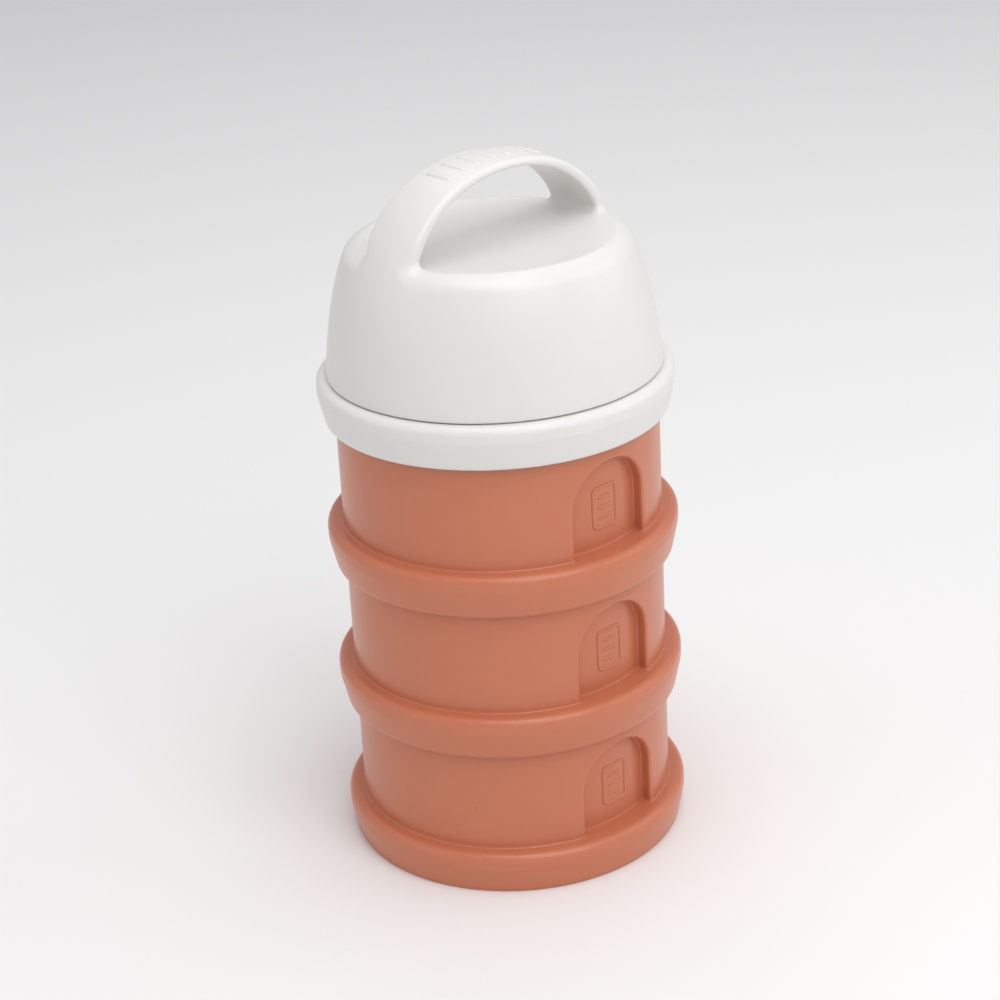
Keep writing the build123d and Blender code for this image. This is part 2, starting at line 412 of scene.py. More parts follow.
TERRACOTTA = Finish(
    name="terracotta_polypropylene",
    colour=(0.560, 0.180, 0.092),
    shade_colour=(0.540, 0.170, 0.085),
    surface=Surface.SATIN,
    roughness=0.29,
    roughness_spread=0.06,
    grain_size=0.00035,
    grain_depth=0.000012,
    scatter=0.06,
    scatter_radius=(1.0, 0.35, 0.2),
)
WHITE = Finish(
    name="white_polypropylene",
    colour=(0.750, 0.738, 0.712),
    shade_colour=(0.735, 0.722, 0.695),
    surface=Surface.SATIN,
    roughness=0.31,
    roughness_spread=0.06,
    grain_size=0.00035,
    grain_depth=0.000012,
    scatter=0.12,
    scatter_radius=(1.0, 0.8, 0.6),
)
SILICONE = Finish(
    name="clear_white_silicone",
    colour=(0.72, 0.71, 0.68),
    shade_colour=(0.66, 0.65, 0.62),
    surface=Surface.SOFT,
    roughness=0.55,
    roughness_spread=0.08,
    grain_size=0.0006,
    grain_depth=0.00001,
    scatter=0.3,
    scatter_radius=(1.0, 0.9, 0.8),
)


def moulded_skin_group() -> bpy.types.NodeTree:
    """Builds the shared moulded skin group once.

    Returns:
        A shader group that varies a colour and a roughness softly and gives a fine moulded grain.
    """
    name = "Moulded Skin"
    if name in bpy.data.node_groups:
        return bpy.data.node_groups[name]
    tree = bpy.data.node_groups.new(name, "ShaderNodeTree")
    sockets = tree.interface
    sockets.new_socket("Colour", in_out="INPUT", socket_type="NodeSocketColor")
    sockets.new_socket("Shade Colour", in_out="INPUT", socket_type="NodeSocketColor")
    for label in ("Roughness", "Roughness Spread", "Grain Size", "Grain Depth"):
        sockets.new_socket(label, in_out="INPUT", socket_type="NodeSocketFloat")
    sockets.new_socket("Colour", in_out="OUTPUT", socket_type="NodeSocketColor")
    sockets.new_socket("Roughness", in_out="OUTPUT", socket_type="NodeSocketFloat")
    sockets.new_socket("Normal", in_out="OUTPUT", socket_type="NodeSocketVector")
    nodes, links = tree.nodes, tree.links
    source = nodes.new("NodeGroupInput")
    result = nodes.new("NodeGroupOutput")
    place = nodes.new("ShaderNodeTexCoord")

    cloud = nodes.new("ShaderNodeTexNoise")
    cloud.inputs["Scale"].default_value = 38.0
    cloud.inputs["Detail"].default_value = 3.0
    links.new(place.outputs["Object"], cloud.inputs["Vector"])
    tint = nodes.new("ShaderNodeMix")
    tint.data_type = "RGBA"
    links.new(cloud.outputs["Fac"], tint.inputs["Factor"])
    links.new(source.outputs["Colour"], tint.inputs["A"])
    links.new(source.outputs["Shade Colour"], tint.inputs["B"])
    links.new(tint.outputs["Result"], result.inputs["Colour"])

    streak = nodes.new("ShaderNodeTexNoise")
    streak.inputs["Scale"].default_value = 160.0
    streak.inputs["Detail"].default_value = 4.0
    links.new(place.outputs["Object"], streak.inputs["Vector"])
    centred = nodes.new("ShaderNodeMath")
    centred.operation = "SUBTRACT"
    centred.inputs[1].default_value = 0.5
    links.new(streak.outputs["Fac"], centred.inputs[0])
    spread = nodes.new("ShaderNodeMath")
    spread.operation = "MULTIPLY_ADD"
    links.new(centred.outputs[0], spread.inputs[0])
    links.new(source.outputs["Roughness Spread"], spread.inputs[1])
    links.new(source.outputs["Roughness"], spread.inputs[2])
    links.new(spread.outputs[0], result.inputs["Roughness"])

    frequency = nodes.new("ShaderNodeMath")
    frequency.operation = "DIVIDE"
    frequency.inputs[0].default_value = 1.0
    links.new(source.outputs["Grain Size"], frequency.inputs[1])
    grain = nodes.new("ShaderNodeTexNoise")
    grain.inputs["Detail"].default_value = 2.0
    links.new(place.outputs["Object"], grain.inputs["Vector"])
    links.new(frequency.outputs[0], grain.inputs["Scale"])
    bump = nodes.new("ShaderNodeBump")
    bump.inputs["Strength"].default_value = 1.0
    links.new(source.outputs["Grain Depth"], bump.inputs["Distance"])
    links.new(grain.outputs["Fac"], bump.inputs["Height"])
    links.new(bump.outputs["Normal"], result.inputs["Normal"])
    return tree


# ---------------------------------------------------------------- geometry nodes


class NodeTool:
    """A Geometry Nodes tree with named inputs, built in code and baked to plain meshes."""

    def __init__(self, name: str) -> None:
        """Starts a tree that has a geometry input and output.

        Args:
            name: name of the tree.
        """
        self.tree = bpy.data.node_groups.new(name, "GeometryNodeTree")
        self.tree.interface.new_socket("Geometry", in_out="INPUT", socket_type="NodeSocketGeometry")
        self.tree.interface.new_socket("Geometry", in_out="OUTPUT", socket_type="NodeSocketGeometry")
        self.source = self.tree.nodes.new("NodeGroupInput")
        self.result = self.tree.nodes.new("NodeGroupOutput")

    def value(self, name: str, kind: str = "NodeSocketFloat") -> None:
        """Adds a named input."""
        self.tree.interface.new_socket(name, in_out="INPUT", socket_type=kind)

    def node(self, kind: str, links: dict[str, object] | None = None, **settings: object) -> bpy.types.Node:
        """Adds a node.

        Args:
            kind: the node's type name.
            links: input socket name or number to an output socket or a fixed value.
            settings: properties of the node.

        Returns:
            The new node.
        """
        node = self.tree.nodes.new(kind)
        for key, setting in settings.items():
            setattr(node, key, setting)
        for socket, origin in (links or {}).items():
            if isinstance(origin, bpy.types.NodeSocket):
                self.tree.links.new(origin, node.inputs[socket])
            else:
                node.inputs[socket].default_value = origin
        return node

    def math(self, operation: str, first: object, second: object) -> bpy.types.NodeSocket:
        """Adds a Math node and returns its result."""
        return self.node("ShaderNodeMath", {0: first, 1: second}, operation=operation).outputs[0]

    def finish(self, geometry: bpy.types.NodeSocket) -> None:
        """Ends the tree in Realize Instances and Set Material.

        Args:
            geometry: output that carries the finished shape.
        """
        real = self.node("GeometryNodeRealizeInstances", {"Geometry": geometry})
        dressed = self.node(
            "GeometryNodeSetMaterial",
            {"Geometry": real.outputs[0], "Material": self.source.outputs["Material"]},
        )
        self.tree.links.new(dressed.outputs[0], self.result.inputs["Geometry"])

    def bake(self, name: str, base: bpy.types.Mesh, **inputs: object) -> bpy.types.Object:
        """Runs the tree on a mesh and keeps the result as a plain object.

        Args:
            name: name of the new piece.
            base: mesh that the tree starts from.
            inputs: value of each named input, with spaces written as underscores.

        Returns:
            The object, with no modifier left on it.
        """
        piece = new_object(name, base)
        modifier = piece.modifiers.new("make", "NODES")
        modifier.node_group = self.tree
        for item in self.tree.interface.items_tree:
            key = item.name.replace(" ", "_")
            if item.in_out == "INPUT" and key in inputs:
                modifier[item.identifier] = inputs[key]
        bpy.context.view_layer.update()
        evaluated = piece.evaluated_get(bpy.context.evaluated_depsgraph_get())
        result = bpy.data.meshes.new_from_object(evaluated)
        piece.modifiers.remove(modifier)
        piece.data = result
        result.name = name
        shade(piece, 40.0)
        return piece


def thread_tool() -> NodeTool:
    """Builds the tree that sets short helical ridges round a neck or in a bore.

    Returns:
        The node tool, with sizes in metres and radians as named inputs.
    """
    tool = NodeTool("Thread Ridges")
    points, edge_round = 29, 0.22 * MM
    run_out, thin_end = 12.0, 0.25  # a ridge swells from a thin end to its full size over 1 / run_out of it
    sizes = ("Radius", "Rise", "Turn", "First Height", "Ridge Height", "Root Width", "Tip Width", "Side")
    for label in sizes:
        tool.value(label)
    tool.value("Starts", "NodeSocketInt")
    tool.value("Material", "NodeSocketMaterial")
    given = tool.source.outputs
    line = tool.node("GeometryNodeMeshLine", {"Count": points}, mode="OFFSET")
    line.inputs["Offset"].default_value = (0.0, 0.0, 0.0)
    index = tool.node("GeometryNodeInputIndex").outputs[0]
    share = tool.math("DIVIDE", index, float(points - 1))
    angle = tool.math("MULTIPLY", share, given["Turn"])
    height = tool.math("ADD", tool.math("MULTIPLY", share, given["Rise"]), given["First Height"])
    across = tool.math("MULTIPLY", tool.math("COSINE", angle, 0.0), given["Radius"])
    along = tool.math("MULTIPLY", tool.math("SINE", angle, 0.0), given["Radius"])
    place = tool.node("ShaderNodeCombineXYZ", {0: across, 1: along, 2: height})
    helix = tool.node(
        "GeometryNodeSetPosition", {"Geometry": line.outputs[0], "Position": place.outputs[0]}
    )
    path = tool.node("GeometryNodeMeshToCurve", {"Mesh": helix.outputs[0]})
    upright = tool.node("GeometryNodeSetCurveNormal", {"Curve": path.outputs[0]}, mode="Z_UP")
    section = tool.node(
        "GeometryNodeCurvePrimitiveQuadrilateral",
        {
            "Height": given["Ridge Height"],
            "Bottom Width": given["Root Width"],
            "Top Width": given["Tip Width"],
            "Offset": 0.0,
        },
        mode="TRAPEZOID",
    )
    quarter = tool.node("ShaderNodeCombineXYZ", {2: tool.math("MULTIPLY", given["Side"], math.pi / 2)})
    turned = tool.node(
        "GeometryNodeTransform", {"Geometry": section.outputs[0], "Rotation": quarter.outputs[0]}
    )
    soft = tool.node(
        "GeometryNodeFilletCurve",
        {"Curve": turned.outputs[0], "Radius": edge_round, "Count": 3},
        mode="POLY",
    )
    ends = tool.node("GeometryNodeSplineParameter").outputs["Factor"]
    from_end = tool.math("MINIMUM", ends, tool.math("SUBTRACT", 1.0, ends))
    swell = tool.math("MINIMUM", tool.math("MULTIPLY", from_end, run_out), 1.0)
    rounded = tool.math("MULTIPLY", tool.math("SQRT", swell, 0.0), 1.0 - thin_end)
    swell = tool.math("ADD", rounded, thin_end)
    sized = tool.node("GeometryNodeSetCurveRadius", {"Curve": upright.outputs[0], "Radius": swell})
    links = {"Curve": sized.outputs[0], "Profile Curve": soft.outputs[0], "Fill Caps": True}
    ridge = tool.node("GeometryNodeCurveToMesh", links)
    if "Scale" in ridge.inputs:
        tool.tree.links.new(swell, ridge.inputs["Scale"])
    spots = tool.node("GeometryNodePoints", {"Count": given["Starts"]})
    step = tool.math("DIVIDE", 2 * math.pi, given["Starts"])
    spin = tool.node("ShaderNodeCombineXYZ", {2: tool.math("MULTIPLY", index, step)})
    around = tool.node(
        "GeometryNodeInstanceOnPoints",
        {"Points": spots.outputs[0], "Instance": ridge.outputs[0], "Rotation": spin.outputs[0]},
    )
    tool.finish(around.outputs[0])
    return tool


def bead_tool() -> NodeTool:
    """Builds the tree that lays a round raised bead along the edges of a mesh.

    Returns:
        The node tool, with the bead's radius in metres as a named input.
    """
    tool = NodeTool("Raised Bead")
    tool.value("Bead Radius")
    tool.value("Material", "NodeSocketMaterial")
    path = tool.node("GeometryNodeMeshToCurve", {"Mesh": tool.source.outputs["Geometry"]})
    section = tool.node(
        "GeometryNodeCurvePrimitiveCircle", {"Resolution": 16, "Radius": tool.source.outputs["Bead Radius"]}
    )
    bead = tool.node(
        "GeometryNodeCurveToMesh",
        {"Curve": path.outputs[0], "Profile Curve": section.outputs[0], "Fill Caps": True},
    )
    tool.finish(bead.outputs[0])
    return tool


# ---------------------------------------------------------------- sizes shared by the stack


@dataclass
class Fit:
    """Sizes that the cups, the collar, the cap and the seals share, in millimetres."""

    pitch: float = 38.0
    wall_radius: float = 40.0
    wall: float = 2.8
    floor: float = 2.2
    flange_radius: float = 44.0
    flange_draft: float = 1.5
    shoulder_drop: float = 4.0
    flange_round: float = 2.6
    edge_round: float = 0.7
    skirt_gap: float = 0.8
    neck_step: float = 1.0
    neck_wall: float = 1.9
    rim_round: float = 0.6
    thread_starts: int = 6
    thread_spacing: float = 4.0
    thread_arc: float = 40.0
    thread_root: float = 1.6
    thread_tip: float = 1.0
    thread_height: float = 1.2
    thread_lead_in: float = 0.4
    thread_pull: float = 0.3
    seal: float = 2.0
    seal_gap: float = 0.1
    seal_clearance: float = 0.5
    lip_clearance: float = 0.4
    lip_wall: float = 1.4
    lip_depth: float = 2.4
    spigot_wall: float = 1.6
    spigot_depth: float = 2.0
    plate: float = 1.8

    @property
    def thread_rise(self) -> float:
        """How far one ridge climbs."""
        return self.thread_starts * self.thread_spacing * self.thread_arc / 360

    @property
    def female_start(self) -> float:
        """First centre of a skirt ridge above the joint plane."""
        return self.thread_lead_in + self.thread_root / 2

    @property
    def male_start(self) -> float:
        """First centre of a neck ridge above the joint plane."""
        return self.female_start + self.thread_spacing / 2 - self.thread_pull

    @property
    def neck_height(self) -> float:
        """Height of a threaded neck above the joint plane."""
        return self.male_start + self.thread_rise + self.thread_root / 2 + self.rim_round

    @property
    def seal_bottom(self) -> float:
        """Underside of a seal above the joint plane."""
        return self.neck_height + self.seal_gap

    @property
    def ceiling(self) -> float:
        """Underside of a cup's floor above the joint plane."""
        return self.seal_bottom + self.seal + self.seal_gap

    @property
    def flange_height(self) -> float:
        """Height of the flange skirt."""
        return self.ceiling + self.plate

    @property
    def skirt_bore(self) -> float:
        """Radius of the bore in a skirt."""
        return self.wall_radius + self.skirt_gap

    @property
    def neck_radius(self) -> float:
        """Outside radius of a cup's neck."""
        return self.wall_radius - self.neck_step

    @property
    def neck_bore(self) -> float:
        """Inside radius of a cup's neck."""
        return self.neck_radius - self.neck_wall

    @property
    def lip_radius(self) -> float:
        """Outside radius of the seal's lip."""
        return self.neck_bore - self.lip_clearance

    @property
    def spigot_radius(self) -> float:
        """Outside radius of the ring that centres the seal."""
        return self.lip_radius - self.lip_wall - self.lip_clearance

    def flange_corners(self) -> list[Corner]:
        """Corners of the skirt's outside, from the wall above it down to the bore.

        Returns:
            (radius, height, rounding) of each corner.
        """
        shoulder = self.flange_height - self.shoulder_drop
        return [
            (self.flange_radius, self.flange_height, self.flange_round),
            (self.flange_radius, shoulder, 5.0),
            (self.flange_radius - self.flange_draft, 0.0, self.edge_round),
            (self.skirt_bore, 0.0, 0.3),
        ]

    def hollow_corners(self) -> list[Corner]:
        """Corners of the skirt's hollow, from its bore to inside the spigot.

        Returns:
            (radius, height, rounding) of each corner.
        """
        low = self.ceiling - self.spigot_depth
        return [
            (self.skirt_bore, self.ceiling, 0.5),
            (self.spigot_radius, self.ceiling, 0.3),
            (self.spigot_radius, low, 0.4),
            (self.spigot_radius - self.spigot_wall, low, 0.4),
            (self.spigot_radius - self.spigot_wall, self.ceiling, 0.4),
        ]


# ---------------------------------------------------------------- sub-assemblies


@dataclass
class PowderCup:
    """One terracotta cup with its arch recess, its threads and its raised label plate."""

    name: str
    base: float
    fit: Fit
    arch_half_width: float = 11.4
    arch_height: float = 23.1
    arch_depth: float = 3.0
    arch_edge: float = 0.9
    arch_foot: float = 0.6
    foot_fillet: float = 0.45
    arch_wall: float = 1.8
    frame_gap: float = 1.6
    label_height: float = 10.4
    label_half_width: float = 3.7
    label_half_height: float = 5.2
    label_corner: float = 1.2
    label_bead: float = 0.42
    label_sink: float = 0.1
    bar_gap: float = 2.6
    bar_step: float = 0.5
    bar_steps: int = 9
    bar_dive: float = 1.2
    back_columns: int = 150
    leg_rows: int = 18
    arc_columns: int = 28
    floor_columns: int = 16

    @property
    def spring_line(self) -> float:
        """Height where the arch's legs turn into its round top."""
        return self.fit.flange_height + self.arch_height - self.arch_half_width

    @property
    def foot(self) -> float:
        """Height where the wall ends in the fillet that joins it to the flange."""
        return self.fit.flange_height + self.foot_fillet

    @property
    def panel_half(self) -> float:
        """Half the width of the square panel that holds the arch."""
        return self.panel_top - self.spring_line

    @property
    def panel_top(self) -> float:
        """Top of the square panel that holds the arch."""
        return self.fit.pitch - 0.4

    def on_wall(self, x: float, z: float, sink: float = 0.0) -> tuple[float, float, float]:
        """A point at the front of the wall.

        Args:
            x: how far to the right it is.
            z: its height.
            sink: 0 on the wall, 1 on the floor of the recess.

        Returns:
            The point in millimetres.
        """
        outer = math.sqrt(self.fit.wall_radius**2 - x * x)
        inner = math.sqrt((self.fit.wall_radius - self.arch_depth) ** 2 - x * x)
        return x, -(outer + (inner - outer) * sink), z

    def arch_line(self, margin: float) -> list[Point]:
        """The arch's outline, moved outwards by a margin, from the left foot to the right one.

        Args:
            margin: how far outside the arch the line runs, in millimetres.

        Returns:
            (across, height) points.
        """
        half = self.arch_half_width + margin
        climb = self.spring_line - self.foot
        leg = [self.foot + climb * row / self.leg_rows for row in range(self.leg_rows)]
        line = [(-half, z) for z in leg]
        for column in range(2 * self.arc_columns + 1):
            angle = math.pi * (1 - column / (2 * self.arc_columns))
            line.append((half * math.cos(angle), self.spring_line + half * math.sin(angle)))
        line += [(half, z) for z in reversed(leg)]
        return line

    def panel_line(self) -> list[Point]:
        """The panel's outline, point by point beside the arch's.

        Returns:
            (across, height) points.
        """
        line = []
        for x, z in self.arch_line(self.frame_gap):
            if z < self.spring_line:
                line.append((math.copysign(self.panel_half, x), z))
                continue
            scale = self.panel_half / max(abs(x), z - self.spring_line)
            line.append((x * scale, self.spring_line + (z - self.spring_line) * scale))
        return line

    def recess_rows(self) -> list[list[tuple[float, float, float]]]:
        """Rows of points from the panel's edge over the rounded rim down to the recess floor.

        Returns:
            Rows with the same number of points each.
        """
        rows = [[self.on_wall(x, z) for x, z in self.panel_line()]]
        rows.append([self.on_wall(x, z) for x, z in self.arch_line(self.frame_gap)])
        steps = 6
        for step in range(steps + 1):
            turn = math.pi / 2 * step / steps
            margin = self.arch_edge * (1 - math.sin(turn))
            sink = self.arch_edge * (1 - math.cos(turn)) / self.arch_depth
            rows.append([self.on_wall(x, z, sink) for x, z in self.arch_line(margin)])
        for step in range(steps + 1):
            turn = math.pi / 2 * step / steps
            margin = -self.arch_foot * (1 - math.cos(turn))
            sink = 1 - self.arch_foot * (1 - math.sin(turn)) / self.arch_depth
            rows.append([self.on_wall(x, z, sink) for x, z in self.arch_line(margin)])
        return rows

    def wall_angles(self) -> list[float]:
        """Directions of all the meridians: close ones at the panel, even ones round the back.

        Returns:
            Angles in radians.
        """
        line = [(x, z) for x, z in self.panel_line() if z > self.panel_top - 1e-6]
        front = [math.atan2(self.on_wall(x, z)[1], x) for x, z in line]
        start, end = front[-1], front[0] + 2 * math.pi
        back = [start + (end - start) * column / self.back_columns for column in range(1, self.back_columns)]
        return front + back

    def shell(self) -> bpy.types.Mesh:
        """Builds the cup's closed shell with the recess in its wall.

        Returns:
            The mesh, in metres.
        """
        fit = self.fit
        skin = Skin()
        rows = self.recess_rows()
        skin.grid(rows)
        foot_line = self.arch_line(-self.arch_foot)
        middle = len(foot_line) // 2
        floor_rows = []
        for left, right in zip(foot_line[: middle + 1], reversed(foot_line[middle:])):
            columns = range(self.floor_columns + 1)
            across = [left[0] + (right[0] - left[0]) * column / self.floor_columns for column in columns]
            floor_rows.append([self.on_wall(x, left[1], 1.0) for x in across])
        skin.grid(floor_rows)

        angles = self.wall_angles()
        side = [z for x, z in self.panel_line() if x > self.panel_half - 1e-6]
        around = angles[angles.index(self.panel_corner_angle(angles)) :] + [angles[0]]
        radius = fit.wall_radius
        skin.grid([[(radius * math.cos(a), radius * math.sin(a), z) for a in around] for z in side])

        skin.grid(self.fillet_rows(rows, floor_rows[0], around), closed=True)

        upper = [
            (radius, self.panel_top, 0.0),
            (radius, fit.pitch, 0.25),
            (fit.neck_radius, fit.pitch, 0.2),
            (fit.neck_radius, fit.pitch + fit.neck_height, fit.rim_round),
            (fit.neck_bore, fit.pitch + fit.neck_height, fit.rim_round),
            (fit.neck_bore, fit.pitch, 0.4),
            (radius - fit.wall, fit.pitch - 0.4, 0.4),
            (radius - fit.wall, fit.ceiling + fit.floor, 3.0),
            (0.0, fit.ceiling + fit.floor, 0.0),
        ]
        skin.turn(divided(rounded_outline(upper, closed=False), 1.5), angles, self.bump)
        lower = [(radius + 0.9, fit.flange_height, 0.0)] + fit.flange_corners() + fit.hollow_corners()
        lower.append((0.0, fit.ceiling, 0.0))
        skin.turn(divided(rounded_outline(lower, closed=False), 3.0), angles)
        skin.flat_gap = fit.flange_height
        return skin.mesh(self.name, self.base)

    def fillet_rows(
        self, rows: Sequence[Row], floor: Row, around: Sequence[float]
    ) -> list[list[tuple[float, float, float]]]:
        """Rows of points of the small fillet between the wall and the flange.

        Args:
            rows: rows of the recess, whose ends lie on the wall's foot.
            floor: the lowest row of the recess floor.
            around: directions of the meridians round the back.

        Returns:
            Closed rows from the wall's foot down to the flange.
        """
        radius = self.fit.wall_radius
        loop = [Vector((radius * math.cos(angle), radius * math.sin(angle))) for angle in around]
        loop += [Vector(row[0][:2]) for row in rows]
        loop += [Vector(point[:2]) for point in floor]
        loop += [Vector(row[-1][:2]) for row in reversed(rows)]
        foot = [point for index, point in enumerate(loop) if (point - loop[index - 1]).length > 1e-4]
        count, steps = len(foot), 5
        result: list[list[tuple[float, float, float]]] = [[] for _ in range(steps + 1)]
        for index, point in enumerate(foot):
            along = (foot[(index + 1) % count] - foot[index - 1]).normalized()
            outward = Vector((along.y, -along.x))
            for step, row in enumerate(result):
                turn = math.pi / 2 * step / steps
                spot = point + outward * self.foot_fillet * (1 - math.cos(turn))
                row.append((spot.x, spot.y, self.foot - self.foot_fillet * math.sin(turn)))
        return result

    def panel_corner_angle(self, angles: Sequence[float]) -> float:
        """The meridian at the panel's right-hand edge."""
        corner = math.atan2(self.on_wall(self.panel_half, 0.0)[1], self.panel_half)
        return min(angles, key=lambda angle: abs(angle - corner))

    def bump(self, angle: float, radius: float, height: float) -> float:
        """Radius of the cup's inside, which stands in behind the recess.

        Args:
            angle: direction of the point, in radians.
            radius: radius with no recess.
            height: height of the point.

        Returns:
            The radius with room for the recess and its wall.
        """
        fit = self.fit
        inner = fit.wall_radius - self.arch_depth - self.arch_wall
        outside = radius > fit.wall_radius - fit.wall + 0.01
        if outside or radius < inner or height > fit.pitch - 0.39 or math.sin(angle) > 0:
            return radius
        x = radius * math.cos(angle)
        half = self.arch_half_width + self.arch_wall
        rise = max(0.0, height - self.spring_line)
        away = math.hypot(x, rise) - half
        share = min(1.0, max(0.0, 0.5 - away / 1.6))
        share = share * share * (3 - 2 * share)
        return radius - share * (radius - inner)

    def label_paths(self) -> bpy.types.Mesh:
        """Paths of the label plate on the recess floor: a rounded frame and three short bars.

        Returns:
            A mesh of edges only.
        """
        centre = self.fit.flange_height + self.label_height
        half, tall, corner = self.label_half_width, self.label_half_height, self.label_corner
        frame = rounded_outline(
            [(-half, -tall, corner), (half, -tall, corner), (half, tall, corner), (-half, tall, corner)]
        )
        frame = divided(frame, 0.6, closed=True)
        points, edges = [], []
        for index, (x, z) in enumerate(frame):
            points.append(self.on_wall(x, centre + z, 1.0))
            edges.append((index, (index + 1) % len(frame)))
        for level in (-self.bar_gap, 0.0, self.bar_gap):
            first = len(points)
            for step in range(self.bar_steps + 1):
                dive = self.bar_dive if step in (0, self.bar_steps) else 1.0
                x = self.bar_step * (step - self.bar_steps / 2)
                points.append(self.on_wall(x, centre + level, dive))
            edges += [(first + step, first + step + 1) for step in range(self.bar_steps)]
        placed = [(x * MM, (y + self.label_sink) * MM, (z + self.base) * MM) for x, y, z in points]
        mesh = bpy.data.meshes.new(f"{self.name}_label")
        mesh.from_pydata(placed, edges, [])
        return mesh

    def make(self, threads: NodeTool, beads: NodeTool, finish: bpy.types.Material) -> None:
        """Builds the cup's pieces and lets them ride on its body.

        Args:
            threads: tool that makes the ridges.
            beads: tool that makes the raised lines of the label plate.
            finish: the cup's material.
        """
        fit = self.fit
        shell = new_object(f"{self.name}_shell", self.shell())
        shade(shell)
        neck = make_thread(threads, f"{self.name}_neck_thread", fit, fit.neck_radius, True, finish,
                           self.base + fit.pitch + fit.male_start)
        skirt = make_thread(threads, f"{self.name}_skirt_thread", fit, fit.skirt_bore, False, finish,
                            self.base + fit.female_start)
        path, radius = self.label_paths(), self.label_bead * MM
        label = beads.bake(f"{self.name}_label_plate", path, Bead_Radius=radius, Material=finish)
        shell.data.materials.append(finish)
        for piece in (shell, neck, skirt, label):
            dress(piece, self.name)
        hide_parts(self.name)


def make_thread(
    tool: NodeTool,
    name: str,
    fit: Fit,
    radius: float,
    outward: bool,
    finish: bpy.types.Material,
    first: float,
) -> bpy.types.Object:
    """Makes the ridges of one thread.

    Args:
        tool: the thread tool.
        name: name of the piece.
        fit: sizes of the thread.
        radius: radius of the wall that the ridges stand on.
        outward: True on a neck, False in a bore.
        finish: material of the ridges.
        first: height where the first ridge's middle starts.

    Returns:
        The new piece.
    """
    sunk = 0.3
    side = 1.0 if outward else -1.0
    middle = radius + side * (fit.thread_height - sunk) / 2
    return tool.bake(
        name,
        bpy.data.meshes.new(name),
        Radius=middle * MM,
        Rise=fit.thread_rise * MM,
        Turn=math.radians(fit.thread_arc),
        First_Height=first * MM,
        Ridge_Height=(fit.thread_height + sunk) * MM,
        Root_Width=fit.thread_root * MM,
        Tip_Width=fit.thread_tip * MM,
        Side=side,
        Starts=fit.thread_starts,
        Material=finish,
    )


def dress(piece: bpy.types.Object, body: str) -> None:
    """Lets a piece ride on a body and logs its face count.

    Args:
        piece: the finished piece.
        body: body that carries it.
    """
    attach(piece, body)
    LOG.info("%s: %d faces, rides on %s", piece.name, len(piece.data.polygons), body)


@dataclass
class NeckSeal:
    """Silicone gasket under a floor, with a lip that plugs the neck below."""

    name: str
    body: str
    base: float
    fit: Fit

    def make(self, finish: bpy.types.Material) -> None:
        """Builds the gasket.

        Args:
            finish: the gasket's material.
        """
        fit = self.fit
        low = fit.seal_bottom - fit.lip_depth
        edge = fit.skirt_bore - fit.seal_clearance
        corners = [
            (fit.lip_radius - fit.lip_wall, low, 0.4),
            (fit.lip_radius - 0.3, low, 0.5),
            (fit.lip_radius, low + 1.2, 0.4),
            (fit.lip_radius, fit.seal_bottom, 0.3),
            (edge, fit.seal_bottom, 0.5),
            (edge, fit.seal_bottom + fit.seal, 0.5),
            (fit.lip_radius - fit.lip_wall, fit.seal_bottom + fit.seal, 0.3),
        ]
        ring = lathe(f"{self.name}_ring", divided(rounded_outline(corners), 2.0, True), self.base)
        ring.data.materials.append(finish)
        dress(ring, self.body)
        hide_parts(self.name)


@dataclass
class PourCollar:
    """White ring with the funnel, the spout and the neck that takes the cap."""

    base: float
    fit: Fit
    name: str = "pour_collar"
    seam_inset: float = 2.6
    neck_inset: float = 3.3
    funnel_wall: float = 1.8
    funnel_top: float = 18.0
    spout_radius: float = 15.0
    spout_tip: float = 26.0

    @property
    def neck_radius(self) -> float:
        """Outside radius of the neck that takes the cap."""
        return self.fit.flange_radius - self.seam_inset - self.neck_inset - self.fit.skirt_gap

    def make(self, threads: NodeTool, finish: bpy.types.Material) -> None:
        """Builds the collar's pieces.

        Args:
            threads: tool that makes the ridges.
            finish: the collar's material.
        """
        fit = self.fit
        top = fit.flange_height
        neck_bore = self.neck_radius - fit.neck_wall
        mouth = neck_bore - self.funnel_wall
        bore = self.spout_radius - self.funnel_wall
        cone, tip = top + self.funnel_top, top + self.spout_tip
        spigot = fit.hollow_corners()
        corners = fit.flange_corners() + spigot[:4]
        corners += [
            (spigot[4][0], fit.ceiling, 0.3),
            (mouth, fit.ceiling, 0.6),
            (bore, cone, 2.5),
            (bore, tip, 0.6),
            (self.spout_radius, tip, 0.6),
            (self.spout_radius, cone, 3.0),
            (neck_bore, top + 0.6, 0.6),
            (neck_bore, top + fit.neck_height, fit.rim_round),
            (self.neck_radius, top + fit.neck_height, fit.rim_round),
            (self.neck_radius, top, 0.3),
        ]
        shell = lathe(f"{self.name}_shell", divided(rounded_outline(corners), 2.0, True), self.base)
        shell.data.materials.append(finish)
        neck = make_thread(threads, f"{self.name}_neck_thread", fit, self.neck_radius, True, finish,
                           self.base + top + fit.male_start)
        skirt = make_thread(threads, f"{self.name}_skirt_thread", fit, fit.skirt_bore, False, finish,
                            self.base + fit.female_start)
        for piece in (shell, neck, skirt):
            dress(piece, self.name)
        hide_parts(self.name)


